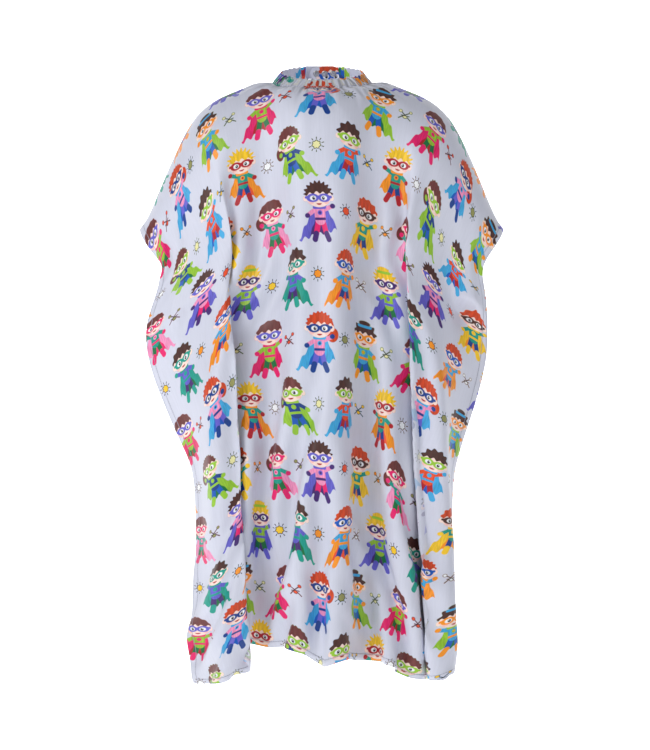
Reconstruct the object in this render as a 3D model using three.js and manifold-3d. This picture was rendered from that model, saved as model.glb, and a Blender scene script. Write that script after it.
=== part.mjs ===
// Child's hairdresser cape: one rectangular sheet with an elasticated neck hole near one end, a slit from
// the hole to the back edge, and a snap closure on the neckband. It hangs over the neck, shoulders and
// upper arms of a wearer. Millimetres, +Z up, the front faces -Y, and the origin is the middle of the
// neckband's top edge, where the wearer's neck passes through.
import * as THREE from 'three';
import { mergeVertices } from 'three/addons/utils/BufferGeometryUtils.js';
import Module from 'manifold-3d';

const wasm = await Module();
wasm.setup();

// Driving dimensions
const NECK_HALF_X = 62;            // half width of the neckband's top edge
const NECK_HALF_Y = 54;            // half depth of the neckband's top edge
const NECK_TILT = 18.5;            // degrees: the back of the neck is higher than the front
const LEAN_BACK = 8;               // degrees that the band leans out from the neck at the back
const LEAN_FRONT = 65;             // and at the front, where it lies on the collar bones
const BAND_HEIGHT = 20;
const BAND_THICKNESS = 3.2;
const CASING_WALL = 0.7;
const ELASTIC_WIDTH = 14;
const BAND_END = 153;              // degrees from the front where the band stops and a tab starts
const GAP = 0.3;                   // between pieces that touch
const CLOTH = 2.0;                 // the sheet with its small pleats, as a solid

const YOKE_BOTTOM = -300;          // height where the front leaves the chest and hangs free
const FRONT_DEPTH = 113;           // the front's distance from the axis at that height
const FRONT_LEAN = 0.07;           // how far the hanging front stands forward, per millimetre of drop
const EDGE_DEPTH = 42;             // the side edges' distance from the axis, to the front
const FOLD_DEPTH = 7;              // half the depth of the hanging folds at the hem
const FOLDS = 7;                   // hanging folds across the front
const HEM_MIDDLE = -884;
const HEM_CORNER_DROP = 54;        // the front corners hang lower than the middle of the hem
const HEM_LEVEL = -950;            // no part of the hem hangs lower than this
const SEAM = 1;                    // gap between the sheet's own solids

const TAB_THICKNESS = 1.4;
const TAB_SPACING = 3.6;           // between the two closed tabs, which the snaps fill
const TAB_ROOT_X = 26;             // distance from the middle of the back to each tab's root
const UNDER_TAB_END = -19;
const OVER_TAB_END = 26;
const SNAP_SPACING = 13;
const FIRST_SNAP = 4;              // from the middle of the back to the first closed snap
const CLOSED_SNAPS = 2;
const STUDS = 3;                   // one spare stud lets the band close a size smaller
const CAP_RADIUS = 5.2;
const CAP_HEIGHT = 1.2;
const SOCKET_RADIUS = 4.6;
const SOCKET_BORE = 2.35;
const SOCKET_HEIGHT = 2;
const STUD_RADIUS = 1.9;
const STUD_FLANGE = 4.2;
const FLANGE_HEIGHT = 0.6;
const STUD_HEIGHT = 2.5;
const POST_HEIGHT = 1;

const rad = THREE.MathUtils.degToRad;
const mix = THREE.MathUtils.lerp;
const TILT = rad(NECK_TILT);

const cloth = new THREE.MeshStandardMaterial({ color: 0xd5d8ea, roughness: 0.45 });
const bandCloth = new THREE.MeshStandardMaterial({ color: 0xcfd2e4, roughness: 0.5 });
const elasticWeb = new THREE.MeshStandardMaterial({ color: 0xf4f4f0, roughness: 0.9 });
const nickel = new THREE.MeshStandardMaterial({ color: 0xc9c9cc, roughness: 0.25, metalness: 1 });

const cape = new THREE.Group();

function addMesh(parent, name, geometry, material) {
  const mesh = new THREE.Mesh(geometry, material);
  mesh.name = name;
  parent.add(mesh);
  return mesh;
}

// A thick shell on a grid of points: surface(i, j) gives the middle surface for i and j from 0 to 1.
// The shell lies between inner and outer, measured along the surface's normal, di x dj.
function shell(surface, rows, columns, inner, outer) {
  const step = 1e-4;
  const positions = [];
  const index = [];
  const add = (i, j, offset) => {
    const point = surface(i, j);
    const alongI = surface(i + step, j).sub(surface(i - step, j));
    const alongJ = surface(i, j + step).sub(surface(i, j - step));
    point.addScaledVector(alongI.cross(alongJ).normalize(), offset);
    positions.push(point.x, point.y, point.z);
  };
  for (const offset of [outer, inner]) {
    for (let i = 0; i <= rows; i++) {
      for (let j = 0; j <= columns; j++) add(i / rows, j / columns, offset);
    }
  }
  const at = (i, j) => i * (columns + 1) + j;
  const back = (rows + 1) * (columns + 1);
  const quad = (a, b, c, d) => index.push(a, b, c, a, c, d);
  for (let i = 0; i < rows; i++) {
    for (let j = 0; j < columns; j++) {
      const corners = [at(i, j), at(i + 1, j), at(i + 1, j + 1), at(i, j + 1)];
      quad(...corners);
      quad(...corners.map((k) => k + back).reverse());
    }
  }
  const wall = (a, b) => quad(b, a, a + back, b + back);
  for (let i = 0; i < rows; i++) {
    wall(at(i, 0), at(i + 1, 0));
    wall(at(i + 1, columns), at(i, columns));
  }
  for (let j = 0; j < columns; j++) {
    wall(at(rows, j), at(rows, j + 1));
    wall(at(0, j + 1), at(0, j));
  }
  const geometry = new THREE.BufferGeometry();
  geometry.setAttribute('position', new THREE.Float32BufferAttribute(positions, 3));
  geometry.setIndex(index);
  geometry.computeVertexNormals();
  return geometry;
}

// ---------------------------------------------------------------- booleans

function toManifold(geometry) {
  const bare = geometry.clone();
  bare.deleteAttribute('normal');
  bare.deleteAttribute('uv');
  const merged = mergeVertices(bare, 1e-4);
  return new wasm.Manifold(new wasm.Mesh({
    numProp: 3,
    vertProperties: new Float32Array(merged.attributes.position.array),
    triVerts: new Uint32Array(merged.index.array),
  }));
}

function subtract(geometry, cutter) {
  const mesh = toManifold(geometry).subtract(toManifold(cutter)).getMesh();
  const result = new THREE.BufferGeometry();
  result.setAttribute('position', new THREE.Float32BufferAttribute(mesh.vertProperties, 3));
  result.setIndex(Array.from(mesh.triVerts));
  result.computeVertexNormals();
  return result;
}

// ---------------------------------------------------------------- neckband

// A point on the band's middle surface: angle in degrees from the front, and drop below the top edge.
function neck(angle, drop) {
  const a = rad(angle);
  const frontness = (1 + Math.cos(a)) / 2;
  const lean = rad(mix(LEAN_BACK, LEAN_FRONT, frontness));
  const out = drop * Math.sin(lean);
  const x = (NECK_HALF_X + out) * Math.sin(a);
  const y = -(NECK_HALF_Y + out) * Math.cos(a);
  const z = -drop * Math.cos(lean);
  return new THREE.Vector3(
    x,
    y * Math.cos(TILT) - z * Math.sin(TILT),
    y * Math.sin(TILT) + z * Math.cos(TILT),
  );
}

// A length of band between two angles, two drops and two offsets from the middle surface.
function bandSolid(endAngle, top, bottom, halfThickness, columns) {
  const surface = (i, j) => neck(mix(-endAngle, endAngle, j), mix(top, bottom, i));
  return shell(surface, 2, columns, -halfThickness, halfThickness);
}

function addNeckband() {
  const columns = 44;
  const outer = bandSolid(BAND_END, 0, BAND_HEIGHT, BAND_THICKNESS / 2, columns);
  const hollowHalf = BAND_THICKNESS / 2 - CASING_WALL;
  const margin = (BAND_HEIGHT - ELASTIC_WIDTH) / 2;
  const hollow = bandSolid(BAND_END + 3, margin - GAP, BAND_HEIGHT - margin + GAP, hollowHalf, columns + 3);
  addMesh(cape, 'neckband_casing', subtract(outer, hollow), bandCloth);
  const elasticHalf = hollowHalf - GAP;
  const elastic = bandSolid(BAND_END - 1, margin, BAND_HEIGHT - margin, elasticHalf, columns);
  addMesh(cape, 'neck_elastic', elastic, elasticWeb);
}

// ---------------------------------------------------------------- hanging sheet

// Half the width of the hanging front, from the sleeve down: it swings out below the sleeve,
// draws in below the wearer's hands, and spreads a little at the hem.
const sideEdge = new THREE.CatmullRomCurve3([
  new THREE.Vector3(228, 0, YOKE_BOTTOM),
  new THREE.Vector3(250, 0, -410),
  new THREE.Vector3(190, 0, -600),
  new THREE.Vector3(186, 0, -720),
  new THREE.Vector3(194, 0, -850),
  new THREE.Vector3(188, 0, HEM_LEVEL),
]);

// One point of the hanging front: across from -1 to 1, down from 0 at the chest to 1 at the hem.
function hangingPoint(down, across) {
  const edge = sideEdge.getPoint(THREE.MathUtils.clamp(down, 0, 1));
  const drop = YOKE_BOTTOM - edge.z;
  const front = FRONT_DEPTH + FRONT_LEAN * drop;
  const roundness = 1 - Math.abs(across) ** 2.4;
  const fold = FOLD_DEPTH * down * Math.cos(across * Math.PI * FOLDS);
  return new THREE.Vector3(edge.x * across, -mix(EDGE_DEPTH, front, roundness) + fold, edge.z);
}

// The hem follows the drape: its middle is lifted, and its corners hang.
function hemmedPoint(down, across) {
  const point = hangingPoint(down, across);
  const hem = HEM_MIDDLE - HEM_CORNER_DROP * Math.abs(across) ** 2;
  point.z = mix(YOKE_BOTTOM - SEAM, hem, (YOKE_BOTTOM - point.z) / (YOKE_BOTTOM - HEM_LEVEL));
  return point;
}

function addHangingFront() {
  const surface = (i, j) => hemmedPoint(i, mix(-1, 1, j));
  addMesh(cape, 'sheet_hanging_front', shell(surface, 12, 40, -CLOTH / 2, CLOTH / 2), cloth);
}

// ---------------------------------------------------------------- yoke: chest, sleeves and back

const CHEST_SHARE = 0.36;          // share of the half yoke, from the front middle, that covers the chest
const SLEEVE_SHARE = 0.68;         // share where the sleeve part ends and the back part starts
const SHOULDER_REACH = 0.62;       // how far out the shoulder's corner is, from the neck to the edge

// The yoke's lower edge past the chest: the side edge over the arm, the back corner, the back hem.
const sleeveEdge = new THREE.CatmullRomCurve3([
  hangingPoint(0, 1),
  new THREE.Vector3(258, -16, -262),
  new THREE.Vector3(273, 22, -240),
  new THREE.Vector3(250, 74, -290),
  new THREE.Vector3(212, 96, -372),
]);
const backEdge = new THREE.CatmullRomCurve3([
  new THREE.Vector3(212, 96, -372),
  new THREE.Vector3(120, 108, -262),
  new THREE.Vector3(3, 108, -188),
]);

// The lower edge at a share from 0 at the front middle to 1 at the back slit.
function yokeEdge(share) {
  if (share < CHEST_SHARE) return hangingPoint(0, share / CHEST_SHARE);
  if (share < SLEEVE_SHARE) {
    return sleeveEdge.getPoint((share - CHEST_SHARE) / (SLEEVE_SHARE - CHEST_SHARE));
  }
  return backEdge.getPoint(Math.min(1, (share - SLEEVE_SHARE) / (1 - SLEEVE_SHARE)));
}

// From the neckband out over the shoulder and down to the lower edge, as a quadratic curve whose
// middle control point is the shoulder's corner.
function yokePoint(down, share) {
  const start = neck(mix(0, 178.5, share), BAND_HEIGHT + SEAM);
  const end = yokeEdge(share);
  const corner = new THREE.Vector3(
    mix(start.x, end.x, SHOULDER_REACH),
    mix(start.y, end.y, 0.9),
    start.z - 10,
  );
  return start.multiplyScalar((1 - down) ** 2)
    .addScaledVector(corner, 2 * down * (1 - down))
    .addScaledVector(end, down * down);
}

// side is 1 on the wearer's left (+X) and -1 on the other side.
function yokePanel(from, to, side, rows, columns) {
  const surface = (i, j) => {
    const share = side > 0 ? mix(from, to, j) : mix(to, from, j);
    const point = yokePoint(i, share);
    point.x *= side;
    return point;
  };
  return shell(surface, rows, columns, -CLOTH / 2, CLOTH / 2);
}

function addYoke() {
  const cut = 0.0012;              // share of the half yoke left open between its solids
  const chest = (i, j) => {
    const share = mix(-CHEST_SHARE + cut, CHEST_SHARE - cut, j);
    const point = yokePoint(i, Math.abs(share));
    point.x *= Math.sign(share) || 1;
    return point;
  };
  addMesh(cape, 'sheet_chest', shell(chest, 10, 24, -CLOTH / 2, CLOTH / 2), cloth);
  for (const [name, side] of [['left', 1], ['right', -1]]) {
    const sleeve = yokePanel(CHEST_SHARE + cut, SLEEVE_SHARE - cut, side, 12, 16);
    addMesh(cape, `sheet_sleeve_${name}`, sleeve, cloth);
    const back = yokePanel(SLEEVE_SHARE + cut, 1, side, 12, 12);
    addMesh(cape, `sheet_back_${name}`, back, cloth);
  }
}

// ---------------------------------------------------------------- snap closure

// A plate in the closure's own plane, X from x0 to x1 with a rounded end at x1, Y from y0 up.
function tabPlate(x0, x1, y0) {
  const half = BAND_HEIGHT / 2;
  const direction = Math.sign(x1 - x0);
  const middle = x1 - direction * half;
  const outline = new THREE.Shape();
  outline.moveTo(x0, -half);
  outline.lineTo(middle, -half);
  outline.absarc(middle, 0, half, -Math.PI / 2, Math.PI / 2, direction < 0);
  outline.lineTo(x0, half);
  outline.closePath();
  const plate = new THREE.ExtrudeGeometry(outline, {
    depth: TAB_THICKNESS, bevelEnabled: false, curveSegments: 16,
  });
  plate.rotateX(Math.PI / 2);      // the outline's Y becomes Z, and the plate grows towards -Y
  plate.translate(0, y0 + TAB_THICKNESS, 0);
  return plate;
}

// A turned piece about the closure's Y axis from a profile of [radius, height] points.
function turned(profile, x) {
  const points = profile.map(([r, h]) => new THREE.Vector2(r, h));
  const piece = new THREE.LatheGeometry(points, 28);
  piece.translate(x, 0, 0);
  return piece;
}

function addClosure() {
  const middle = neck(180, BAND_HEIGHT / 2);
  const top = neck(180, 0);
  const bottom = neck(180, BAND_HEIGHT);
  const closure = new THREE.Group();
  closure.rotation.x = Math.atan2(bottom.y - top.y, top.z - bottom.z);
  closure.position.copy(middle);
  cape.add(closure);

  const underFace = -4;            // outer face of the under tab, where the studs stand
  const overFace = underFace + TAB_SPACING;
  addMesh(closure, 'under_tab', tabPlate(TAB_ROOT_X, UNDER_TAB_END, underFace - TAB_THICKNESS), bandCloth);
  addMesh(closure, 'over_tab', tabPlate(-TAB_ROOT_X, OVER_TAB_END, overFace), bandCloth);

  for (let n = 0; n < STUDS; n++) {
    const x = FIRST_SNAP + SNAP_SPACING * (1 - n);
    const base = underFace + GAP;
    const flangeTop = base + FLANGE_HEIGHT;
    const stud = turned([
      [0, base], [STUD_FLANGE, base], [STUD_FLANGE, flangeTop], [STUD_RADIUS - 0.3, flangeTop],
      [STUD_RADIUS, base + STUD_HEIGHT * 0.7], [STUD_RADIUS - 0.4, base + STUD_HEIGHT],
      [0, base + STUD_HEIGHT],
    ], x);
    addMesh(closure, `snap_stud_${n + 1}`, stud, nickel);
    const postTop = underFace - TAB_THICKNESS - GAP;
    const post = turned([
      [0, postTop - POST_HEIGHT], [CAP_RADIUS - 1.2, postTop - POST_HEIGHT],
      [CAP_RADIUS - 0.4, postTop - POST_HEIGHT * 0.5], [CAP_RADIUS - 0.4, postTop], [0, postTop],
    ], x);
    addMesh(closure, `snap_post_${n + 1}`, post, nickel);
  }
  for (let n = 0; n < CLOSED_SNAPS; n++) {
    const x = FIRST_SNAP + SNAP_SPACING * (1 - n);
    const socketTop = overFace - GAP;
    const socket = turned([
      [SOCKET_BORE, socketTop - SOCKET_HEIGHT], [SOCKET_RADIUS - 0.5, socketTop - SOCKET_HEIGHT],
      [SOCKET_RADIUS, socketTop - SOCKET_HEIGHT * 0.6], [SOCKET_RADIUS, socketTop],
      [SOCKET_BORE, socketTop], [SOCKET_BORE, socketTop - SOCKET_HEIGHT],
    ], x);
    addMesh(closure, `snap_socket_${n + 1}`, socket, nickel);
    const capBase = overFace + TAB_THICKNESS + GAP;
    const cap = turned([
      [0, capBase], [CAP_RADIUS, capBase], [CAP_RADIUS, capBase + CAP_HEIGHT * 0.4],
      [CAP_RADIUS - 0.9, capBase + CAP_HEIGHT * 0.85], [0, capBase + CAP_HEIGHT],
    ], x);
    addMesh(closure, `snap_cap_${n + 1}`, cap, nickel);
  }
}

addNeckband();
addYoke();
addHangingFront();
addClosure();

export default cape;
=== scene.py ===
import math

import bpy
import numpy as np
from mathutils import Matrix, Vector


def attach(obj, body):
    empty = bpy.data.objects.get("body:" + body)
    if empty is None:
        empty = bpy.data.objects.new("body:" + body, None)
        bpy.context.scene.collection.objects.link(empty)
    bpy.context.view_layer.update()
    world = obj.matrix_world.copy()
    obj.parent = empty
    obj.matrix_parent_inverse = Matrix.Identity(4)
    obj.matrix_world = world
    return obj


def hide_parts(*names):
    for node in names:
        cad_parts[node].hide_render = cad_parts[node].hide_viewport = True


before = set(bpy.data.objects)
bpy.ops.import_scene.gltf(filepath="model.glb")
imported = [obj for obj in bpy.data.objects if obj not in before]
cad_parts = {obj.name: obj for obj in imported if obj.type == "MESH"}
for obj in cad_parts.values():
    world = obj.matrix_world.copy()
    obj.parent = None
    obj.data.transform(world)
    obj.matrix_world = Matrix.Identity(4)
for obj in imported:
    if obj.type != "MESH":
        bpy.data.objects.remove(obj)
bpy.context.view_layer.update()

# ---------------------------------------------------------------- shader nodes


def srgb(r, g, b):
    def linear(c):
        c /= 255
        return c / 12.92 if c <= 0.04045 else ((c + 0.055) / 1.055) ** 2.4

    return (linear(r), linear(g), linear(b))


class Nodes:
    """Adds shader nodes to a tree. Sockets or plain numbers go in, a socket comes out."""

    def __init__(self, tree):
        self.tree = tree

    def new(self, kind, **settings):
        node = self.tree.nodes.new(kind)
        for name, value in settings.items():
            setattr(node, name, value)
        return node

    def feed(self, node, values):
        for slot, value in values.items():
            socket = node.inputs[slot]
            if isinstance(value, bpy.types.NodeSocket):
                self.tree.links.new(value, socket)
            else:
                socket.default_value = value

    def math(self, operation, a, b=0.0, c=0.0, clamp=False):
        node = self.new("ShaderNodeMath", operation=operation, use_clamp=clamp)
        self.feed(node, {0: a, 1: b, 2: c})
        return node.outputs[0]

    def vmath(self, operation, a, b=(0.0, 0.0, 0.0), scale=None):
        node = self.new("ShaderNodeVectorMath", operation=operation)
        self.feed(node, {0: a, 1: b})
        if scale is not None:
            self.feed(node, {"Scale": scale})
        return node.outputs["Value" if operation in ("LENGTH", "DOT_PRODUCT") else "Vector"]

    def xyz(self, x, y, z=0.0):
        node = self.new("ShaderNodeCombineXYZ")
        self.feed(node, {0: x, 1: y, 2: z})
        return node.outputs[0]

    def split(self, vector):
        node = self.new("ShaderNodeSeparateXYZ")
        self.feed(node, {0: vector})
        return node.outputs[0], node.outputs[1], node.outputs[2]

    def remap(self, value, low, high, out_low=0.0, out_high=1.0):
        node = self.new("ShaderNodeMapRange")
        limits = {"From Min": low, "From Max": high, "To Min": out_low, "To Max": out_high}
        self.feed(node, {"Value": value, **limits})
        return node.outputs[0]

    def table(self, position, rows):
        """A stepped ramp: position 0..1 picks one of the evenly spaced colours."""
        node = self.new("ShaderNodeValToRGB")
        ramp = node.color_ramp
        ramp.interpolation = "CONSTANT"
        while len(ramp.elements) < len(rows):
            ramp.elements.new(0.5)
        for k in range(len(rows)):
            ramp.elements[k].position = k / len(rows)
        for k, row in enumerate(rows):
            ramp.elements[k].color = (*row, 1.0)
        self.feed(node, {0: position})
        return node.outputs["Color"]

    def mix(self, under, over, mask):
        node = self.new("ShaderNodeMix", data_type="RGBA")
        self.feed(node, {"Factor": mask})
        for value, socket in ((under, node.inputs[6]), (over, node.inputs[7])):
            if isinstance(value, bpy.types.NodeSocket):
                self.tree.links.new(value, socket)
            else:
                socket.default_value = (*value, 1.0)
        return node.outputs[2]

    def noise(self, vector, scale, detail=2.0, rough=0.5):
        node = self.new("ShaderNodeTexNoise")
        self.feed(node, {"Vector": vector, "Scale": scale, "Detail": detail, "Roughness": rough})
        return node.outputs[0]

    def bump(self, height, distance, strength=1.0, normal=None):
        node = self.new("ShaderNodeBump")
        self.feed(node, {"Height": height, "Distance": distance, "Strength": strength})
        if normal is not None:
            self.feed(node, {"Normal": normal})
        return node.outputs[0]


EDGE = 0.35  # softness of a printed edge, mm


class Ink(Nodes):
    """Flat printed shapes, with coordinates in millimetres. Every call gives a 0..1 mask."""

    def inside(self, distance):
        return self.remap(distance, EDGE, -EDGE)

    def oval(self, p, cx, cy, rx, ry):
        q = self.vmath("MULTIPLY", self.vmath("SUBTRACT", p, (cx, cy, 0.0)), (1 / rx, 1 / ry, 0.0))
        soft = EDGE / min(rx, ry)
        return self.remap(self.vmath("LENGTH", q), 1 + soft, 1 - soft)

    def limb(self, p, a, b, radius):
        ba = (b[0] - a[0], b[1] - a[1], 0.0)
        q = self.vmath("SUBTRACT", p, (a[0], a[1], 0.0))
        size = ba[0] ** 2 + ba[1] ** 2
        along = self.vmath("DOT_PRODUCT", q, tuple(v / size for v in ba))
        along = self.math("MULTIPLY", along, 1.0, clamp=True)
        away = self.vmath("SUBTRACT", q, self.vmath("SCALE", ba, scale=along))
        return self.inside(self.math("SUBTRACT", self.vmath("LENGTH", away), radius))

    def under(self, p, nx, ny, limit):
        """Where nx x + ny y is less than limit."""
        return self.inside(self.math("SUBTRACT", self.vmath("DOT_PRODUCT", p, (nx, ny, 0.0)), limit))

    def both(self, *masks):
        out = masks[0]
        for mask in masks[1:]:
            out = self.math("MULTIPLY", out, mask)
        return out

    def either(self, *masks):
        out = masks[0]
        for mask in masks[1:]:
            out = self.math("MAXIMUM", out, mask)
        return out


# ---------------------------------------------------------------- the print

CELL_W, CELL_H = 77.0, 80.0  # one figure's share of the print, mm, laid like bricks
PER_ROW, ROWS = 3, 4
PRINT_SCALE = 1.18  # the print's size on the cloth, against the size it is drawn at
FAR = 1000.0  # shifts the whole cloth to where cell numbers are above zero, mm

GROUND = srgb(211, 214, 230)
SKIN = srgb(252, 224, 214)
WHITE = (0.90, 0.91, 0.94)
BLACK = (0.014, 0.014, 0.02)
BROWN = srgb(112, 52, 50)
GINGER = srgb(214, 70, 24)
YELLOW = srgb(250, 204, 40)
ORANGE = srgb(250, 150, 26)
PINK = srgb(232, 22, 108)
ROSE = srgb(246, 150, 196)
VERMILION = srgb(238, 78, 34)
GREEN = srgb(0, 110, 58)
LIME = srgb(150, 200, 50)
TEAL = srgb(14, 158, 140)
ROYAL = srgb(4, 88, 190)
NAVY = srgb(10, 60, 140)
SKY = srgb(60, 170, 226)
PURPLE = srgb(66, 32, 112)
VIOLET = srgb(98, 94, 204)
UMBER = srgb(76, 40, 34)
CRIMSON = srgb(176, 18, 34)

# hair, mask, shirt, cape, cape lining, trousers, boots and gloves
FIGURES = [
    (UMBER, TEAL, VIOLET, TEAL, GREEN, PURPLE, TEAL),
    (GINGER, ROYAL, SKY, ORANGE, VERMILION, NAVY, ORANGE),
    (YELLOW, PURPLE, LIME, VIOLET, PURPLE, GREEN, VIOLET),
    (BROWN, PINK, TEAL, ROSE, PINK, GREEN, PINK),
    (UMBER, VIOLET, ROSE, VIOLET, PURPLE, PINK, PURPLE),
    (GINGER, UMBER, TEAL, YELLOW, ORANGE, NAVY, YELLOW),
    (BROWN, LIME, NAVY, LIME, GREEN, ROYAL, LIME),
    (UMBER, LIME, VERMILION, SKY, ROYAL, CRIMSON, SKY),
    (YELLOW, CRIMSON, TEAL, ORANGE, VERMILION, NAVY, CRIMSON),
    (BROWN, VIOLET, LIME, PINK, CRIMSON, GREEN, PINK),
    (GINGER, NAVY, ROSE, SKY, ROYAL, VIOLET, NAVY),
    (UMBER, ORANGE, SKY, LIME, GREEN, ROYAL, ORANGE),
]
# how far the hair's edge goes in and out, how many locks (0 few, 1 many), tail of hair
HAIR = [
    (0.5, 0, 0), (0.3, 1, 0), (0.9, 1, 0), (0.15, 0, 1), (0.6, 1, 0), (0.4, 0, 0),
    (0.25, 1, 1), (0.6, 0, 0), (1.0, 1, 0), (0.2, 0, 0), (0.4, 1, 1), (0.7, 0, 0),
]  # fmt: skip
# mirrored, lean, top bun
STANCE = [
    (1, 0.45, 0), (0, 0.70, 0), (0, 0.40, 1), (1, 0.60, 0), (0, 0.35, 0), (0, 0.50, 0),
    (1, 0.80, 0), (0, 0.55, 0), (1, 0.45, 0), (0, 0.60, 0), (0, 0.50, 0), (1, 0.40, 1),
]  # fmt: skip
SPOTS = [YELLOW, ORANGE, srgb(150, 150, 90), WHITE, srgb(236, 232, 170), VERMILION]


def figure(ink, p, pick):
    """(colour, mask) of a small masked child in a cape. p is centred on the figure, 78 mm tall."""
    column = lambda k: ink.table(pick, [row[k] for row in FIGURES])
    hair, mask, shirt, cape, lining, trousers, boots = (column(k) for k in range(7))
    edge, locks, tail = ink.split(ink.table(pick, HAIR))
    mirror, lean, bun = ink.split(ink.table(pick, STANCE))
    x, y, _ = ink.split(p)
    x = ink.math("MULTIPLY", x, ink.remap(mirror, 0, 1, 1, -1))
    tilt = ink.remap(lean, 0, 1, -0.30, 0.30)
    x = ink.math("SUBTRACT", x, ink.math("MULTIPLY", y, tilt))
    p = ink.xyz(x, y)

    shade = ink.remap(ink.noise(ink.vmath("MULTIPLY", p, (0.35, 0.06, 0.0)), 1.0, 2.0), 0.3, 0.7, 0.72, 1.12)
    dark = lambda colour: ink.vmath("SCALE", colour, scale=shade)

    # the cape blows to one side behind the figure
    ripple = ink.math("MULTIPLY", ink.math("SINE", ink.math("MULTIPLY", x, 0.62)), 2.2)
    wavy = ink.xyz(x, ink.math("ADD", y, ripple))
    cloak = ink.both(
        ink.under(wavy, -0.86, 0.51, 8.5),
        ink.under(wavy, 0.93, 0.37, 11.0),
        ink.under(wavy, 0.25, -0.97, 27.0),
        ink.under(p, 0, 1, 7.0),
    )
    inner = ink.both(cloak, ink.under(wavy, -0.93, 0.36, 3.0), ink.under(p, 1, 0.15, 3.0))
    colour, whole = ink.mix(dark(cape), lining, inner), cloak

    def lay(over, shape):
        nonlocal colour, whole
        colour = ink.mix(colour, over, shape)
        whole = ink.either(whole, shape)

    swirl = ink.oval(p, 17.5, 8, 7.5, 9)
    curl = ink.both(swirl, ink.math("SUBTRACT", 1.0, ink.oval(p, 17.0, 11.0, 3.6, 4.6)))
    lay(dark(hair), ink.both(ink.either(curl, ink.limb(p, (12, 24), (17, 8), 5.5)), tail))
    legs = ink.either(ink.limb(p, (-3.2, -14), (-7.0, -28), 3.5), ink.limb(p, (3.2, -14), (6.5, -28), 3.5))
    lay(trousers, legs)
    feet = ink.either(ink.limb(p, (-7.2, -28), (-9.5, -35), 3.6), ink.limb(p, (6.7, -28), (9.6, -35), 3.6))
    lay(boots, feet)
    arms = ink.either(ink.limb(p, (-6, 1.5), (-15, -4.5), 2.7), ink.limb(p, (6, 1.5), (15.5, 5.5), 2.7))
    lay(dark(shirt), ink.either(ink.limb(p, (0, 1.5), (0, -10.5), 7.0), arms))
    lay(boots, ink.either(ink.oval(p, -16.2, -5.4, 3.3, 3.1), ink.oval(p, 17.0, 6.3, 3.3, 3.1)))
    waist = ink.limb(p, (0, -10.5), (0, -11.5), 7.1)
    lay(boots, ink.both(waist, ink.under(p, 0, 1, -8.2), ink.under(p, 0, -1, 11.4)))
    lay(cape, ink.oval(p, 0, -2.2, 3.0, 3.0))
    lay(boots, ink.oval(p, 0, -2.2, 1.5, 1.5))
    lay(cape, ink.limb(p, (-6.5, 4.4), (6.5, 4.4), 2.1))

    # head: ears, face, hair with a fringe, mask, eyes and smile
    ears = ink.either(ink.oval(p, -16.5, 16, 3.2, 3.8), ink.oval(p, 16.5, 16, 3.2, 3.8))
    lay(SKIN, ink.either(ink.oval(p, 0, 18.5, 16.5, 14.0), ears))
    cheeks = ink.either(ink.oval(p, -10, 10.6, 3.2, 2.4), ink.oval(p, 10, 10.6, 3.2, 2.4))
    colour = ink.mix(colour, srgb(250, 170, 168), ink.math("MULTIPLY", cheeks, 0.55))
    hx, hy, _ = ink.split(ink.vmath("SUBTRACT", p, (0.0, 20.0, 0.0)))
    around = ink.math("ARCTAN2", hy, hx)
    wave = ink.math("SINE", ink.math("MULTIPLY", around, ink.remap(locks, 0, 1, 11.0, 19.0)))
    reach = ink.vmath("LENGTH", ink.xyz(ink.math("DIVIDE", hx, 1.06), hy))
    rim = ink.math("ADD", 16.6, ink.math("MULTIPLY", ink.math("MULTIPLY", wave, edge), 2.6))
    cap = ink.inside(ink.math("SUBTRACT", reach, rim))
    fringe = ink.math("MULTIPLY", ink.math("SINE", ink.math("MULTIPLY", x, 0.75)), 1.5)
    brow = ink.math("ADD", fringe, ink.math("MULTIPLY", ink.math("ABSOLUTE", hx), 0.16))
    cap = ink.both(cap, ink.inside(ink.math("SUBTRACT", ink.math("SUBTRACT", 23.2, y), brow)))
    lay(dark(hair), cap)
    base = ink.both(ink.under(p, 0, 1, 33.5), ink.under(p, 0, -1, -29.6), ink.oval(p, 0, 30, 11, 9))
    knot = ink.either(ink.oval(p, 0, 35.2, 8.4, 3.6), base)
    lay(dark(hair), ink.both(knot, bun))
    lay(shirt, ink.both(ink.limb(p, (-9, 31.4), (9, 31.4), 1.7), bun))
    frames = ink.either(ink.oval(p, -7.3, 16.2, 7.8, 5.3), ink.oval(p, 7.3, 16.2, 7.8, 5.3))
    lay(mask, ink.either(frames, ink.limb(p, (-15.5, 17.4), (15.5, 17.4), 1.7)))
    eyes = ink.either(ink.oval(p, -6.9, 16.0, 3.9, 3.0), ink.oval(p, 6.9, 16.0, 3.9, 3.0))
    lay(WHITE, eyes)
    lay(BLACK, ink.either(ink.oval(p, -6.1, 15.8, 1.8, 2.2), ink.oval(p, 6.1, 15.8, 1.8, 2.2)))
    lay(WHITE, ink.either(ink.oval(p, -5.5, 16.7, 0.6, 0.6), ink.oval(p, 6.7, 16.7, 0.6, 0.6)))
    smile = ink.both(ink.oval(p, 0, 9.6, 3.4, 2.3), ink.under(p, 0, 1, 9.4))
    lay(CRIMSON, smile)
    return colour, whole


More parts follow.
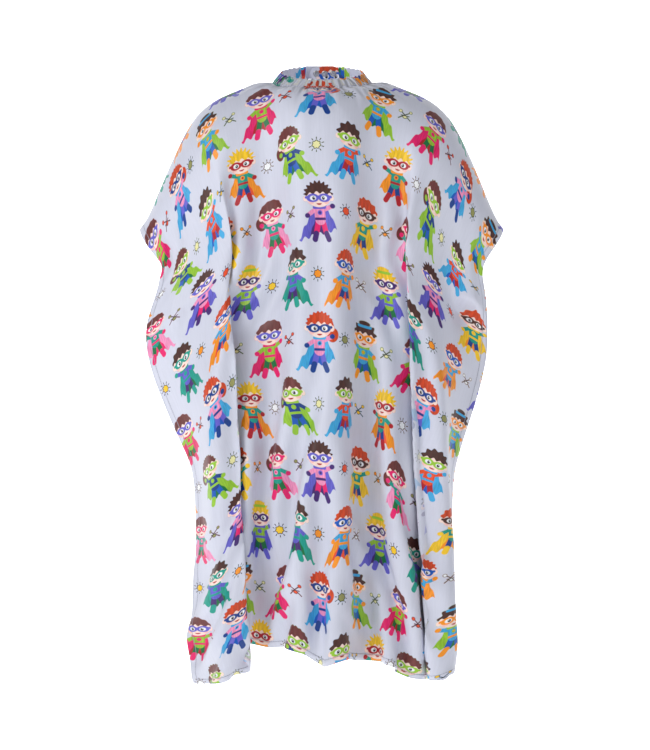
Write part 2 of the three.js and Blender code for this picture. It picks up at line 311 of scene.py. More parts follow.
def doodle(ink, p, pick, kind):
    """(colour, mask) of a small line drawing, 17 mm across: a burst with rays, or two linked balls."""
    spot = ink.table(pick, SPOTS)
    x, y, _ = ink.split(p)
    reach = ink.vmath("LENGTH", p)
    around = ink.math("ARCTAN2", y, x)
    turn = ink.math("FRACT", ink.math("MULTIPLY", around, 10 / (2 * math.pi)))
    ray = ink.remap(ink.math("ABSOLUTE", ink.math("SUBTRACT", turn, 0.5)), 0.13, 0.08)
    ray = ink.both(ray, ink.remap(reach, 8.4, 7.9), ink.remap(reach, 5.2, 5.7))
    lobes = ink.math("SINE", ink.math("MULTIPLY", around, 7.0))
    bumpy = ink.math("ADD", reach, ink.math("MULTIPLY", lobes, 0.45))
    burst = ink.either(ray, ink.remap(bumpy, 4.9, 4.4))
    burst_colour = ink.mix(BLACK, spot, ink.remap(bumpy, 3.9, 3.5))
    balls = ink.either(ink.oval(p, -5.5, 4.2, 2.2, 2.2), ink.oval(p, 5.6, 5.0, 2.0, 2.0))
    lines = ink.either(
        ink.limb(p, (-6.5, -5.5), (5.5, 4.8), 0.65),
        ink.limb(p, (6.5, -5.5), (-5.2, 4.0), 0.65),
        ink.limb(p, (-4, -1.2), (4.6, -0.6), 0.6),
        ink.oval(p, 0.3, -2.6, 2.8, 2.2),
    )
    filled = ink.either(
        ink.oval(p, -5.5, 4.2, 1.6, 1.6), ink.oval(p, 5.6, 5.0, 1.4, 1.4), ink.oval(p, 0.3, -2.6, 2.0, 1.4)
    )
    colour = ink.mix(burst_colour, ink.mix(BLACK, spot, filled), kind)
    burst = ink.math("MULTIPLY", burst, ink.math("SUBTRACT", 1.0, kind))
    linked = ink.math("MULTIPLY", ink.either(balls, lines), kind)
    return colour, ink.math("ADD", burst, linked)


def pattern(ink, flat):
    """The printed colour and its mask at a point of the flat cloth, in metres."""
    u, v, _ = ink.split(ink.vmath("SCALE", flat, scale=1000.0 / PRINT_SCALE))
    v = ink.math("ADD", v, FAR + 3.0)
    u = ink.math("ADD", u, FAR - 2.0)
    row = ink.math("FLOOR", ink.math("DIVIDE", v, CELL_H))
    odd = ink.math("MODULO", row, 2.0)
    u = ink.math("ADD", u, ink.math("MULTIPLY", odd, CELL_W / 2))
    col = ink.math("FLOOR", ink.math("DIVIDE", u, CELL_W))
    x = ink.math("SUBTRACT", ink.math("SUBTRACT", u, ink.math("MULTIPLY", col, CELL_W)), CELL_W / 2 - 6.0)
    y = ink.math("SUBTRACT", ink.math("SUBTRACT", v, ink.math("MULTIPLY", row, CELL_H)), CELL_H / 2 + 0.3)
    row_first = ink.math("MULTIPLY", ink.math("MODULO", row, float(ROWS)), PER_ROW)
    number = ink.math("ADD", row_first, ink.math("MODULO", col, float(PER_ROW)))
    pick = ink.math("DIVIDE", ink.math("ADD", number, 0.5), PER_ROW * ROWS)
    colour, mask = figure(ink, ink.xyz(x, y), pick)
    kind = ink.math("MODULO", number, 2.0)
    other = ink.math("FRACT", ink.math("MULTIPLY", pick, 5.0))
    beside = ink.vmath("SUBTRACT", ink.xyz(x, y), (35.0, 3.0, 0.0))
    small, spots = doodle(ink, ink.vmath("SCALE", beside, scale=0.85), other, kind)
    return ink.mix(colour, small, spots), ink.either(mask, spots)


# ---------------------------------------------------------------- the cut sheet

WIDTH, FRONT, BACK, HOLE = 0.77, 0.945, 0.26, 0.071
STEP = 0.0125
TILT = math.radians(18.5)


def smooth(a, low, high):
    t = np.clip((a - low) / (high - low), 0, 1)
    return t * t * (3 - 2 * t)


def neck(phi, down, grow=0.0):
    """A point under the neckband's top edge. phi is 0 at the throat, and down is the way along the cloth."""
    phi = np.asarray(phi, float)
    lean = np.radians(8 + 57 * (1 + np.cos(phi)) / 2)
    out = down * np.sin(lean) + grow
    x = (0.062 + out) * np.sin(phi)
    y = -(0.054 + out) * np.cos(phi)
    z = -down * np.cos(lean)
    return np.stack([x, y * math.cos(TILT) - z * math.sin(TILT), y * math.sin(TILT) + z * math.cos(TILT)], -1)


def cut_sheet():
    """Grid of the flat cloth with a round neck hole and a slit down the middle of the back."""
    columns = int(round(WIDTH / STEP / 2)) * 2
    us = np.linspace(-WIDTH / 2, WIDTH / 2, columns + 1)
    vs = np.concatenate(
        [
            np.linspace(-FRONT, 0, int(round(FRONT / STEP)) + 1),
            np.linspace(0, BACK, int(round(BACK / STEP)) + 1)[1:],
        ]
    )
    rows, middle = len(vs) - 1, columns // 2
    gone = np.hypot(us[:, None], vs[None, :]) < HOLE - 0.45 * STEP
    ids = -np.ones((2, columns + 1, rows + 1), int)
    flat, side = [], []
    for i in range(columns + 1):
        for j in range(rows + 1):
            if not gone[i, j]:
                ids[:, i, j] = len(flat)
                flat.append((us[i], vs[j]))
                side.append(-1 if i <= middle else 1)
                if i == middle and vs[j] > 0:
                    ids[1, i, j] = len(flat)
                    flat.append((us[i], vs[j]))
                    side.append(1)
    faces, springs = [], [[] for _ in range(12)]
    for i in range(columns + 1):
        right = int(i >= middle)
        for j in range(rows + 1):
            if i < columns and j < rows:
                q = [ids[right, i, j], ids[right, i + 1, j], ids[right, i + 1, j + 1], ids[right, i, j + 1]]
                if min(q) >= 0:
                    faces.append([int(a) for a in q])
                    springs[4 + i % 2].append((q[0], q[2]))
                    springs[6 + i % 2].append((q[1], q[3]))
            for part in (0, 1) if i == middle and vs[j] > 0 else (right,):
                column = ids[part, i]
                if column[j] >= 0 and j < rows and column[j + 1] >= 0:
                    springs[2 + j % 2].append((column[j], column[j + 1]))
                    if j < rows - 1 and column[j + 2] >= 0:
                        springs[10 + (j % 4) // 2].append((column[j], column[j + 2]))
            a = ids[right, i, j]
            if a >= 0 and i < columns and ids[right, i + 1, j] >= 0:
                springs[i % 2].append((a, ids[right, i + 1, j]))
                if i < columns - 1 and not (i == middle - 1 and vs[j] > 0) and ids[right, i + 2, j] >= 0:
                    springs[8 + (i % 4) // 2].append((a, ids[right, i + 2, j]))
    flat, side = np.array(flat), np.array(side)
    seen = {}
    for f in faces:
        for a, b in zip(f, f[1:] + f[:1]):
            key = (min(a, b), max(a, b))
            seen[key] = seen.get(key, 0) + 1
    border = {v for key, count in seen.items() if count == 1 for v in key}
    r = np.hypot(flat[:, 0], flat[:, 1])
    slit = (np.abs(flat[:, 0]) < 1e-9) & (flat[:, 1] > 0)
    near = (r < HOLE + 1.3 * STEP) & ~(slit & (r > HOLE + 0.9 * STEP))
    ring = np.array([v for v in sorted(border) if near[v]])
    flat[ring] *= (HOLE / r[ring])[:, None]
    return flat, side, faces, [np.array(s) for s in springs], ring, slit


def hung_shape(flat, side, ring, slit):
    """The cape as it hangs on a child's shoulders and held-out arms: rolled over the shoulder line, with a
    deep fold on either side of the front.

    Also gives each point's way from the neck, its place between the middle and the side edge, whether it is
    in front, how much shorter than cut its column hangs, how creased it is, and how far it is pressed."""
    u, v = np.abs(flat[:, 0]), flat[:, 1]
    sign = np.where(np.abs(flat[:, 0]) > 1e-9, np.sign(flat[:, 0]), side)
    left = sign < 0
    f = u / (WIDTH / 2)
    front = v <= 0
    start = np.sqrt(np.clip(HOLE**2 - u**2, 0, None))
    phi = np.where(u < HOLE, np.arctan2(u, np.where(front, 1, -1) * np.maximum(start, 1e-6)), math.pi / 2)
    collar, corner = neck(phi, 0.021), neck(math.pi / 2, 0.021)

    # the shoulder line, from the collar's side to the sleeve tip
    along = np.linspace(0, WIDTH / 2 - HOLE, 200)
    flatter, steeper = math.atan2(0.033, 0.108), math.atan2(0.184, 0.092)
    slope = flatter + (steeper - flatter) * smooth(along, 0.064, 0.164)
    step = np.diff(along)
    line_x = corner[0] + np.concatenate([[0], np.cumsum(np.cos(slope[1:]) * step)])
    line_z = corner[2] + 0.008 - np.concatenate([[0], np.cumsum(np.sin(slope[1:]) * step)])
    past = np.clip(u - HOLE, 0, None)
    top_x = np.where(u < HOLE, collar[:, 0], np.interp(past, along, line_x))
    top_z = np.where(u < HOLE, collar[:, 2], np.interp(past, along, line_z))
    top_y = np.where(u < HOLE, collar[:, 1], corner[1] + 0.008 * np.clip(past / 0.1, 0, 1))

    # over the shoulder on a round, then straight down
    q = np.clip(np.abs(v) - np.where(u < HOLE, start, 0), 0, None)
    roll = np.where(
        front,
        np.interp(f, [0, 0.2, 0.45, 1], [0.055, 0.085, 0.10, 0.06]),
        np.interp(f, [0, 0.2, 0.45, 1], [0.05, 0.07, 0.095, 0.075]),
    )
    turn = np.clip(q / roll, 0, math.pi / 2)

    # each column hangs shorter than it is cut, most at the side edges; four shifted steps smooth this out
    short = 0
    for shift in (-0.06, -0.02, 0.02, 0.06):
        g = np.abs(f + shift)
        short = short + 0.25 * np.where(
            left,
            np.interp(g, [0, 0.18, 0.3, 0.55, 0.64, 0.86, 1], [1, 0.95, 0.925, 0.882, 0.86, 0.806, 0.745]),
            np.interp(g, [0, 0.18, 0.3, 0.55, 0.915, 1], [1.0, 0.962, 0.950, 0.930, 0.760, 0.715]),
        )
    short = np.where(front, short, 0.95)
    z = top_z - (roll * (1 - np.cos(turn)) + np.clip(q - roll * math.pi / 2, 0, None) * short)
    y = top_y + np.where(front, -1, 1) * roll * np.sin(turn)

    # half width of the cape at each height, and where the folds lie
    half = np.where(
        left,
        np.interp(
            z,
            [-0.93, -0.85, -0.72, -0.60, -0.50, -0.41, -0.35, -0.295, -0.236],
            [0.193, 0.196, 0.188, 0.192, 0.235, 0.290, 0.258, 0.224, 0.272],
        ),
        np.interp(
            z,
            [-0.93, -0.85, -0.72, -0.60, -0.50, -0.43, -0.34, -0.280, -0.236],
            [0.187, 0.196, 0.192, 0.197, 0.228, 0.253, 0.250, 0.222, 0.270],
        ),
    )
    fold = np.where(
        left,
        np.interp(z, [-0.95, -0.5], [0.098, 0.122]),
        np.interp(z, [-0.95, -0.4, -0.2], [0.162, 0.122, 0.11]),
    )
    grow = smooth(q, 0.06, 0.45)
    tuck = np.where(left, 0.030, 0.022) * grow + 1e-5
    a = f * (half + 2 * tuck)
    x = np.where(a < fold + tuck, a, np.where(a < fold + 2 * tuck, 2 * (fold + tuck) - a, a - 2 * tuck))
    layer = smooth((a - (fold + tuck)) / tuck, 0, 1) * grow
    leave = np.clip((q - 0.01) / np.interp(f, [0, 0.5, 0.8, 1], [0.34, 0.30, 0.16, 0.11]), 0, 1)
    leave = leave * leave * (3 - 2 * leave)
    x = top_x + (x - top_x) * leave
    inward = (0.10 * f + 0.55 * smooth(f, 0.6, 1)) * q
    x = np.where(front, x, np.maximum(top_x - inward, np.minimum(top_x, 0.19)))

    # soft upright waves take up the spare width
    spare = np.clip((WIDTH / 2) / (half + 2 * tuck + 0.03) - 1, 0, 2)
    wave_length = 0.085
    height = np.sqrt(spare) / math.pi * wave_length * 0.50
    w = sign * x
    wave = np.cos(2 * math.pi * (w + 0.02 + 0.010 * np.sin(3 * math.pi * v)) / wave_length)
    wave = wave + 0.40 * np.sin(2 * math.pi * (w - 0.03) / (wave_length * 0.57) + 4 * v)
    beyond = smooth((x - fold - tuck - 0.005) / (half - fold - tuck), 0, 1)
    y = y + front * (
        -0.026 * layer * leave
        + height * (1 - 0.45 * smooth(f, 0.8, 1)) * smooth(q, 0.10, 0.55) * wave
        + 0.045 * beyond * smooth(a, fold + tuck, fold + 2 * tuck) * smooth(q, 0.1, 0.3)
        - 0.035 * smooth(q, 0.3, 0.9)
    )
    shape = np.stack([x * sign, y, z], -1)
    shape[ring] = neck(np.arctan2(flat[ring, 0], -flat[ring, 1]), 0.0205)
    shape[slit, 0] = side[slit] * 0.002
    end = fold + 2 * tuck
    creased = smooth(a, fold - 0.01, fold + 0.01) * (1 - smooth(a, end + 0.01, end + 0.03)) * grow * front
    over = smooth(a, fold + 1.5 * tuck, fold + 2.2 * tuck) * (1 - smooth(a, end + 0.03, end + 0.08))
    under = smooth(a, fold, fold + tuck) * (1 - smooth(a, fold + 1.1 * tuck, fold + 1.8 * tuck))
    press = (0.010 * under - 0.014 * over) * grow * front
    return shape, q, f, front, short, creased, press


# the wearer's neck, shoulders, arms and chest: two ends, two radii, and how flat it is from front to back
WEARER = [
    ((0, 0.01, -0.15), (0, -0.008, 0.03), 0.055, 0.050, 1.0),
    ((0, 0.005, -0.17), (0, 0.005, -0.42), 0.115, 0.115, 0.70),
]
for _side in (-1, 1):
    WEARER += [
        ((0, 0.012, -0.052), (_side * 0.14, 0.012, -0.086), 0.044, 0.042, 1.0),
        ((_side * 0.145, 0.012, -0.088), (_side * 0.226, 0.012, -0.240), 0.042, 0.034, 1.0),
        ((_side * 0.226, 0.012, -0.240), (_side * 0.214, -0.05, -0.37), 0.030, 0.014, 1.0),
    ]


def keep_off(points):
    """Moves points that are inside the wearer out to the skin."""
    for a, b, ra, rb, thin in WEARER:
        scale = np.array([1, 1 / thin, 1])
        a, b, p = np.array(a) * scale, np.array(b) * scale, points * scale
        t = np.clip(((p - a) @ (b - a)) / ((b - a) @ (b - a)), 0, 1)
        centre = a + t[:, None] * (b - a)
        away = p - centre
        far = np.linalg.norm(away, axis=1) + 1e-12
        skin = ra + (rb - ra) * t + 0.004
        hit = far < skin
        points[hit] = (centre[hit] + away[hit] * (skin[hit] / far[hit])[:, None]) / scale
    return points


def settle(shape, flat, springs, ring, slit, q, f, front, short, creased, passes=110):
    """Lets the cloth relax by position: threads keep their length, the cloth bends and shears easily, rests
    on the wearer and leans gently back to how it hangs."""
    cut = flat.copy()
    cut[:, 1] *= np.where(
        front,
        1 + (np.minimum(short * 1.01, 1) - 1) * smooth(q, 0.05, 0.3),
        1 - 0.34 * smooth(f, 0.6, 1) * smooth(q, 0, 0.15),
    )
    free = np.ones(len(shape))
    free[ring] = 0
    # stretch and squeeze stiffness of across, along, shear and bend springs
    stiff = [(0.8, 0.2)] * 4 + [(0.10, 0.02)] * 4 + [(0.0, 0.10)] * 4
    bonds = []
    for (a, b), k in zip((s.T for s in springs), stiff):
        bonds.append((a, b, np.linalg.norm(cut[b] - cut[a], axis=1), k))
    pull = 0.10 - 0.060 * smooth(q, 0.2, 0.5) * (1 - smooth(f, 0.93, 1))
    pull = np.where(slit, 0.10, pull + 0.30 * creased)[:, None] * np.array([1, 0.75, 0.8])
    now, before = shape.copy(), shape.copy()
    moves = (free > 0)[:, None]
    for _ in range(passes):
        speed, before = (now - before) * 0.9, now.copy()
        now = now + moves * (speed + np.array([0, 0, -0.00015]) + pull * (shape - now))
        for _ in range(7):
            for a, b, rest, (longer, shorter) in bonds:
                gap = now[b] - now[a]
                size = np.linalg.norm(gap, axis=1) + 1e-9
                off = size - rest
                share = off * np.where(off > 0, longer, shorter) / np.maximum(free[a] + free[b], 1e-9) / size
                now[a] += (free[a] * share)[:, None] * gap
                now[b] -= (free[b] * share)[:, None] * gap
            now = keep_off(now)
            now[ring] = shape[ring]
    return now


# ---------------------------------------------------------------- materials


def new_material(name):
    mat = bpy.data.materials.new(name)
    mat.use_nodes = True
    return mat, Ink(mat.node_tree), mat.node_tree.nodes["Principled BSDF"]


def satin(ink, shader, colour, place, gloss=0.42):
    """A thin polyester satin: fine weave, uneven gloss and a faint sheen. place is on the cloth, in metres."""
    u, v, _ = ink.split(place)
    warp = ink.math("SINE", ink.math("MULTIPLY", u, 2 * math.pi / 0.0008))
    weft = ink.math("SINE", ink.math("MULTIPLY", v, 2 * math.pi / 0.0008))
    weave = ink.math("MULTIPLY", warp, weft)
    slub = ink.noise(ink.vmath("MULTIPLY", place, (420.0, 26.0, 1.0)), 1.0, 3.0)
    cloud = ink.noise(place, 7.0, 2.0)
    broad = ink.remap(cloud, 0.3, 0.7, 0.97, 1.02)
    tone = ink.math("MULTIPLY", ink.remap(slub, 0.3, 0.7, 0.965, 1.015), broad)
    tree = ink.tree
    tree.links.new(ink.vmath("SCALE", colour, scale=tone), shader.inputs["Base Color"])
    tree.links.new(ink.remap(slub, 0.3, 0.7, gloss - 0.05, gloss + 0.07), shader.inputs["Roughness"])
    shader.inputs["Sheen Weight"].default_value = 0.12
    shader.inputs["Sheen Roughness"].default_value = 0.35
    shader.inputs["Specular IOR Level"].default_value = 0.45
    return ink.bump(weave, 0.00005, 0.25)


def edge_distance(ink, u, v):
    """Metres from a point of the flat sheet to its nearest cut edge."""
    edges = ink.math("SUBTRACT", WIDTH / 2, ink.math("ABSOLUTE", u))
    edges = ink.math("MINIMUM", edges, ink.math("ADD", v, FRONT))
    edges = ink.math("MINIMUM", edges, ink.math("SUBTRACT", BACK, v))
    behind = ink.math("GREATER_THAN", v, 0.0)
    slit = ink.math("ADD", ink.math("ABSOLUTE", u), ink.math("SUBTRACT", 1.0, behind))
    return ink.math("MINIMUM", edges, slit)


def gathers(ink, flat):
    """Height of the small gathers that fan out of the neckband."""
    u, v, _ = ink.split(flat)
    around = ink.math("ARCTAN2", u, v)
    uneven = ink.math("MULTIPLY", ink.noise(flat, 26.0, 1.0), 9.0)
    fold = ink.math("SINE", ink.math("ADD", ink.math("MULTIPLY", around, 44.0), uneven))
    near = ink.remap(ink.vmath("LENGTH", flat), 0.150, HOLE)
    return ink.math("MULTIPLY", fold, ink.math("POWER", near, 2.0))


def sheet_material(name, show):
    """The printed satin. show is how much of the print comes through: all on the face, some behind."""
    mat, ink, shader = new_material(name)
    flat = ink.new("ShaderNodeUVMap", uv_map="flat").outputs[0]
    u, v, _ = ink.split(flat)
    colour, mask = pattern(ink, flat)
    colour = ink.mix(GROUND, colour, ink.math("MULTIPLY", mask, show))

    # a stitched hem, 10 mm from every edge, with painted shade along its stitch groove
    edge = edge_distance(ink, u, v)
    dash = ink.math("FRACT", ink.math("DIVIDE", ink.math("ADD", u, v), 0.0034))
    line = ink.remap(ink.math("ABSOLUTE", ink.math("SUBTRACT", edge, 0.010)), 0.0008, 0.0004)
    colour = ink.mix(colour, srgb(150, 152, 172), ink.both(line, ink.remap(dash, 0.66, 0.60), 0.75))
    # painted shade: a darker line along the whole stitch groove, under the thread dashes
    colour = ink.mix(colour, srgb(176, 178, 198), ink.math("MULTIPLY", line, 0.35))
    normal = satin(ink, shader, colour, flat)
    hem = ink.math("SUBTRACT", ink.remap(edge, 0.0108, 0.0096), line)
    normal = ink.bump(hem, 0.0006, 0.8, normal)
    ripple = ink.noise(ink.vmath("MULTIPLY", flat, (130.0, 130.0, 1.0)), 1.0, 1.0)
    pucker = ink.math("MULTIPLY", ripple, ink.remap(edge, 0.022, 0.008))
    normal = ink.bump(pucker, 0.0018, 0.6, normal)
    normal = ink.bump(gathers(ink, flat), 0.0024, 0.8, normal)
    crease = ink.noise(ink.vmath("MULTIPLY", flat, (13.0, 4.5, 1.0)), 1.0, 3.0, 0.45)
    normal = ink.bump(crease, 0.010, 0.55, normal)
    ink.tree.links.new(normal, shader.inputs["Normal"])
    return mat


def casing_material():
    mat, ink, shader = new_material("neckband_satin")
    flat = ink.new("ShaderNodeUVMap", uv_map="flat").outputs[0]
    colour, mask = pattern(ink, flat)
    normal = satin(ink, shader, ink.mix(GROUND, colour, mask), flat)
    ink.tree.links.new(ink.bump(gathers(ink, flat), 0.0024, 0.8, normal), shader.inputs["Normal"])
    return mat


def tab_material():
    """The same print on a stitched closure tab, laid over it from the tab's own position."""
    mat, ink, shader = new_material("tab_satin")
    place = ink.new("ShaderNodeTexCoord").outputs["Object"]
    x, y, z = ink.split(place)
    flat = ink.xyz(ink.math("ADD", x, 0.030), ink.math("ADD", z, 0.014))
    colour, mask = pattern(ink, flat)
    normal = satin(ink, shader, ink.mix(GROUND, colour, mask), ink.xyz(x, ink.math("ADD", z, y)))
    rough = ink.noise(place, 160.0, 2.0)
    ink.tree.links.new(ink.bump(rough, 0.0006, 0.5, normal), shader.inputs["Normal"])
    return mat


def elastic_material():
    mat, ink, shader = new_material("knitted_elastic")
    place = ink.new("ShaderNodeTexCoord").outputs["Object"]
    x, y, z = ink.split(place)
    around = ink.math("MULTIPLY", ink.math("ARCTAN2", x, y), 90.0)
    rib = ink.math("SINE", around)
    cord = ink.math("SINE", ink.math("MULTIPLY", z, 2 * math.pi / 0.0016))
    woven = ink.remap(ink.math("MULTIPLY", rib, cord), -1, 1)
    colour = ink.mix(srgb(226, 226, 224), srgb(196, 196, 198), woven)
    ink.tree.links.new(colour, shader.inputs["Base Color"])
    ink.tree.links.new(ink.bump(ink.math("ADD", rib, cord), 0.0003, 0.8), shader.inputs["Normal"])
    ink.tree.links.new(ink.remap(ink.noise(place, 300.0), 0.3, 0.7, 0.7, 0.9), shader.inputs["Roughness"])
    return mat


def thread_material():
    mat, ink, shader = new_material("sewing_thread")
    place = ink.new("ShaderNodeTexCoord").outputs["Object"]
    twist = ink.noise(place, 1500.0, 1.0)
    colour = ink.mix(srgb(176, 178, 200), srgb(214, 216, 232), ink.remap(twist, 0.35, 0.65))
    ink.tree.links.new(colour, shader.inputs["Base Color"])
    ink.tree.links.new(ink.bump(twist, 0.0001, 0.6), shader.inputs["Normal"])
    shader.inputs["Roughness"].default_value = 0.5
    return mat


def nickel_material():
    mat, ink, shader = new_material("pressed_nickel")
    place = ink.new("ShaderNodeTexCoord").outputs["Object"]
    scratch = ink.noise(ink.vmath("MULTIPLY", place, (900.0, 900.0, 120.0)), 1.0, 3.0)
    worn = ink.noise(place, 220.0, 3.0)
    colour = ink.mix(srgb(188, 188, 190), srgb(150, 148, 146), ink.remap(worn, 0.42, 0.72))
    ink.tree.links.new(colour, shader.inputs["Base Color"])
    ink.tree.links.new(ink.remap(scratch, 0.3, 0.7, 0.20, 0.38), shader.inputs["Roughness"])
    ink.tree.links.new(ink.bump(scratch, 0.00008, 0.4), shader.inputs["Normal"])
    shader.inputs["Metallic"].default_value = 1.0
    return mat


# ---------------------------------------------------------------- pieces


def add_mesh(name, points, faces, materials, uvs=None):
    mesh = bpy.data.meshes.new(name)
    mesh.from_pydata([tuple(map(float, p)) for p in points], [], faces)
    mesh.update()
    for mat in materials:
        mesh.materials.append(mat)
    if uvs is not None:
        layer = mesh.uv_layers.new(name="flat")
        for loop in mesh.loops:
            layer.data[loop.index].uv = uvs[loop.vertex_index]
    mesh.polygons.foreach_set("use_smooth", [True] * len(mesh.polygons))
    obj = bpy.data.objects.new(name, mesh)
    bpy.context.scene.collection.objects.link(obj)
    return obj


def apply_modifiers(obj):
    graph = bpy.context.evaluated_depsgraph_get()
    made = bpy.data.meshes.new_from_object(obj.evaluated_get(graph), depsgraph=graph)
    old, obj.data = obj.data, made
    obj.modifiers.clear()
    bpy.data.meshes.remove(old)
    made.polygons.foreach_set("use_smooth", [True] * len(made.polygons))


def thicken(obj, thin, thick, hemmed, reverse):
    """Gives the cloth its thickness, doubled along the hem, with the reverse in the second material."""
    group = obj.vertex_groups.new(name="hem")
    for index, amount in enumerate(hemmed):
        group.add([index], float(amount), "REPLACE")
    solid = obj.modifiers.new("cloth", "SOLIDIFY")
    solid.thickness = thick
    solid.offset = 0.0
    solid.vertex_group = "hem"
    solid.thickness_vertex_group = thin / thick
    solid.material_offset = reverse


def build_sheet():
    flat, side, faces, springs, ring, slit = cut_sheet()
    shape, q, f, front, short, creased, press = hung_shape(flat, side, ring, slit)
    hung = settle(shape, flat, springs, ring, slit, q, f, front, short, creased)
    hung[:, 1] += press  # keeps the layers of the two deep folds apart
    sides = [sheet_material("printed_satin", 1.0), sheet_material("satin_reverse", 0.42)]
    cape = add_mesh("cape_sheet", hung, faces, sides, flat)
    finer = cape.modifiers.new("finer", "SUBSURF")
    finer.levels = finer.render_levels = 1
    finer.uv_smooth = "NONE"
    apply_modifiers(cape)

    # gathers where the cloth leaves the neckband, then the hem's double thickness
    mesh = cape.data
    uv = np.zeros((len(mesh.vertices), 2))
    for loop in mesh.loops:
        uv[loop.vertex_index] = mesh.uv_layers["flat"].data[loop.index].uv
    reach, around = np.hypot(uv[:, 0], uv[:, 1]), np.arctan2(uv[:, 0], -uv[:, 1])
    fade = np.exp(-np.clip(reach - HOLE, 0, None) / 0.040) * smooth(reach, HOLE, HOLE + 0.012)
    size = 0.0032 * fade * np.sin(21 * around + 2.2 * np.sin(5 * around) + 1.0)
    for vertex, amount in zip(mesh.vertices, size):
        vertex.co += vertex.normal * float(amount)
    edge = np.minimum(np.minimum(WIDTH / 2 - np.abs(uv[:, 0]), FRONT + uv[:, 1]), BACK - uv[:, 1])
    edge = np.where(uv[:, 1] > 0, np.minimum(edge, np.abs(uv[:, 0])), edge)
    thicken(cape, 0.0005, 0.0014, edge < 0.0105, 1)
    apply_modifiers(cape)
    return cape


def frill(phi, strength):
    """How far a gather stands out at an angle round the neckband."""
    return strength * (np.sin(38 * phi + 1.6 * np.sin(6 * phi)) + 0.4 * np.sin(67 * phi + 1.0))


BAND_END = math.radians(156)


def build_casing():
    """The folded casing, puckered over its elastic, from one closure end round the throat to the other."""
    count, around = 480, 20
    points, uvs, faces = [], [], []
    for i in range(count + 1):
        phi = -BAND_END + 2 * BAND_END * i / count
        fade = float(smooth(BAND_END - abs(phi), 0.0, 0.12))
        for j in range(around + 1):
            turn = 2 * math.pi * j / around
            down = 0.0105 - 0.0106 * math.cos(turn)
            down += 0.0009 * fade * math.sin(38 * phi + 0.8) * (math.cos(turn) > 0.3)
            out = math.sin(turn)
            swell = 0.0015 * np.sign(out) * abs(out) ** 0.55
            pucker = frill(phi, 0.0010 * fade) * (0.35 + 0.65 * smooth(down, 0.004, 0.020))
            pinch = 0.0007 * math.exp(-(((down - 0.0175) / 0.0013) ** 2)) * np.sign(out)
            above = np.array([0, math.sin(TILT), -math.cos(TILT)]) * min(down, 0.0)
            points.append(neck(phi, max(down, 0.0), float(swell + pucker - pinch)) + above)
            if out >= 0:  # the outside is the sheet's own edge, so the print runs on over the seam
                reach = HOLE - 0.9 * (0.0205 - down)
                uvs.append((reach * math.sin(phi), -reach * math.cos(phi)))
            else:
                uvs.append((phi * 0.085, 0.152 + down))
    for i in range(count):
        for j in range(around):
            a = i * (around + 1) + j
            faces.append([a, a + 1, a + around + 2, a + around + 1])
    for end in (0, count):
        loop = [end * (around + 1) + j for j in range(around)]
        faces.append(loop if end else loop[::-1])
    return add_mesh("neckband", points, faces, [casing_material()], uvs)


def stitches(name, path, normals, length=0.0028, gap=0.0011, radius=0.00032):
    """Short raised threads along a path given as an array of points with outward normals."""
    steps = np.concatenate([[0], np.cumsum(np.linalg.norm(np.diff(path, axis=0), axis=1))])
    points, faces = [], []
    start = gap
    while start + length < steps[-1]:
        rings = []
        for k, lift in enumerate((-0.6, 0.55, 0.8, 0.55, -0.6)):
            s = start + length * k / 4
            centre = np.array([np.interp(s, steps, path[:, c]) for c in range(3)])
            normal = np.array([np.interp(s, steps, normals[:, c]) for c in range(3)])
            normal /= np.linalg.norm(normal)
            ahead = np.array([np.interp(s + 1e-4, steps, path[:, c]) for c in range(3)]) - centre
            ahead /= np.linalg.norm(ahead) + 1e-12
            across = np.cross(ahead, normal)
            first = len(points)
            for t in range(6):
                angle = 2 * math.pi * t / 6
                thick = radius * (0.6 if k in (0, 4) else 1.0)
                around = math.cos(angle) * across + math.sin(angle) * normal
                points.append(centre + normal * (radius * lift) + thick * around)
            rings.append(first)
        for a, b in zip(rings, rings[1:]):
            faces += [[a + t, a + (t + 1) % 6, b + (t + 1) % 6, b + t] for t in range(6)]
        faces.append([rings[0] + t for t in range(6)][::-1])
        faces.append([rings[-1] + t for t in range(6)])
        start += length + gap
    return add_mesh(name, points, faces, [THREAD])


THREAD = thread_material()
cape = build_sheet()
casing = build_casing()

turns = np.linspace(-BAND_END + 0.03, BAND_END - 0.03, 1500)
seam = np.array([neck(p, 0.0175, 0.0008 + float(frill(p, 0.0010) * 0.9)) for p in turns])
outward = np.array([neck(p, 0.0175, 0.003) - neck(p, 0.0175, 0.0) for p in turns])
seam_thread = stitches("neckband_stitching", seam, outward)

# the closure lies in one plane behind the neck, tilted with the band
centre = np.array([0, 0.0557, 0.0082])
lean = math.radians(26.5)
up = np.array([0, -math.sin(lean), math.cos(lean)])
out = np.array([0, math.cos(lean), math.sin(lean)])
right = np.array([1.0, 0, 0])

over_face = 0.0010  # the over tab's outer face, from the band's middle
round_end = [(0.016 + 0.0078 * math.sin(t), -0.0078 * math.cos(t)) for t in np.radians(np.arange(0, 181, 12))]
outline = [(-0.0225, -0.0078), *round_end, (-0.0225, 0.0078), (-0.0225, -0.0078)]
path = np.array([centre + x * right + z * up + over_face * out for x, z in outline])
over_seam = stitches("over_tab_stitching", path, np.tile(out, (len(path), 1)), 0.0024, 0.0010, 0.00026)

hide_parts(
    "sheet_hanging_front",
    "sheet_chest",
    "sheet_sleeve_left",
    "sheet_sleeve_right",
    "sheet_back_left",
    "sheet_back_right",
)
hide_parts("neckband_casing")
for piece in (cape, casing, seam_thread):
    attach(piece, "cape")
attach(over_seam, "closure_tab")

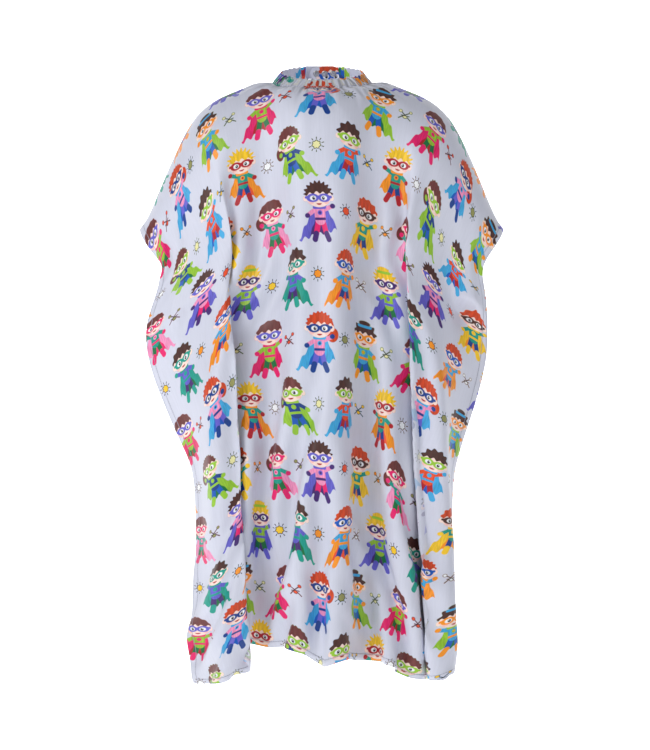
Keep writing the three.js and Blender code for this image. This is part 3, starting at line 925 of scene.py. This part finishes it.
TAB, ELASTIC, NICKEL = tab_material(), elastic_material(), nickel_material()
for name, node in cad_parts.items():
    if node.hide_render:
        continue
    finish = TAB if name.endswith("_tab") else ELASTIC if name == "neck_elastic" else NICKEL
    node.data.materials.clear()
    node.data.materials.append(finish)
    if finish is TAB:
        soften = node.modifiers.new("soft_edge", "BEVEL")
        soften.width, soften.segments, soften.limit_method = 0.0004, 2, "ANGLE"

# ---------------------------------------------------------------- floor, light and camera


def add_stage():
    """A pale floor that curves up into a backdrop far behind."""
    outline = [(-8.0, -1.30), (5.0, -1.30)]
    curve = np.radians(np.arange(10, 91, 10))
    outline += [(5.0 + 1.2 * math.sin(a), -0.10 - 1.2 * math.cos(a)) for a in curve]
    outline += [(6.2, 6.0)]
    points = [(x, y, z) for y, z in outline for x in (-8.0, 8.0)]
    faces = [[2 * i, 2 * i + 1, 2 * i + 3, 2 * i + 2] for i in range(len(outline) - 1)]
    mat, _, shader = new_material("pale_paper")
    shader.inputs["Base Color"].default_value = (0.93, 0.93, 0.93, 1)
    shader.inputs["Roughness"].default_value = 0.95
    shader.inputs["Specular IOR Level"].default_value = 0.0
    shader.inputs["Emission Color"].default_value = (1, 1, 1, 1)
    shader.inputs["Emission Strength"].default_value = 0.6
    floor = add_mesh("studio_floor", points, faces, [mat])

    # a pale dome all round, which the camera sees and which lets the even light through
    rings = [(13.0 * math.cos(a), 13.0 * math.sin(a)) for a in np.radians(np.arange(-30, 91, 10))]
    turns = np.radians(np.arange(0, 360, 15))
    points = [(r * math.cos(t), r * math.sin(t), z - 1.0) for r, z in rings for t in turns]
    faces = []
    for low in range(0, 24 * (len(rings) - 1), 24):
        for k in range(24):
            after = (k + 1) % 24
            faces.append([low + k, low + after, low + 24 + after, low + 24 + k])
    mat, _, shader = new_material("pale_dome")
    shader.inputs["Base Color"].default_value = (0, 0, 0, 1)
    shader.inputs["Specular IOR Level"].default_value = 0.0
    shader.inputs["Emission Color"].default_value = (1, 1, 1, 1)
    shader.inputs["Emission Strength"].default_value = 1.0
    dome = add_mesh("studio_dome", points, faces, [mat])
    dome.visible_diffuse = dome.visible_glossy = dome.visible_transmission = dome.visible_shadow = False


def add_light(name, place, target, size, power):
    data = bpy.data.lights.new(name, "AREA")
    data.shape, data.size, data.energy = "SQUARE", size, power
    light = bpy.data.objects.new(name, data)
    bpy.context.scene.collection.objects.link(light)
    light.location = place
    light.rotation_euler = (Vector(target) - Vector(place)).to_track_quat("-Z", "Y").to_euler()


add_stage()
add_light("key", (-2.1, -2.0, 0.9), (0, 0, -0.40), 1.3, 39)
add_light("fill", (2.3, -2.0, 0.2), (0, 0, -0.50), 1.8, 5)
add_light("back_wash", (0.0, 3.0, 2.8), (0, 6.0, -0.4), 2.5, 160)

scene = bpy.context.scene
world = bpy.data.worlds.new("studio")
scene.world = world
world.use_nodes = True
world.node_tree.nodes["Background"].inputs["Color"].default_value = (1, 1, 1, 1)
world.node_tree.nodes["Background"].inputs["Strength"].default_value = 0.33
scene.view_settings.view_transform = "Standard"

lens = bpy.data.cameras.new("camera")
lens.lens, lens.sensor_width = 101.6, 36.0
camera = bpy.data.objects.new("camera", lens)
scene.collection.objects.link(camera)
camera.location = (0.0045, -3.2, -0.457)
camera.rotation_euler = (math.radians(90), 0, 0)
scene.camera = camera
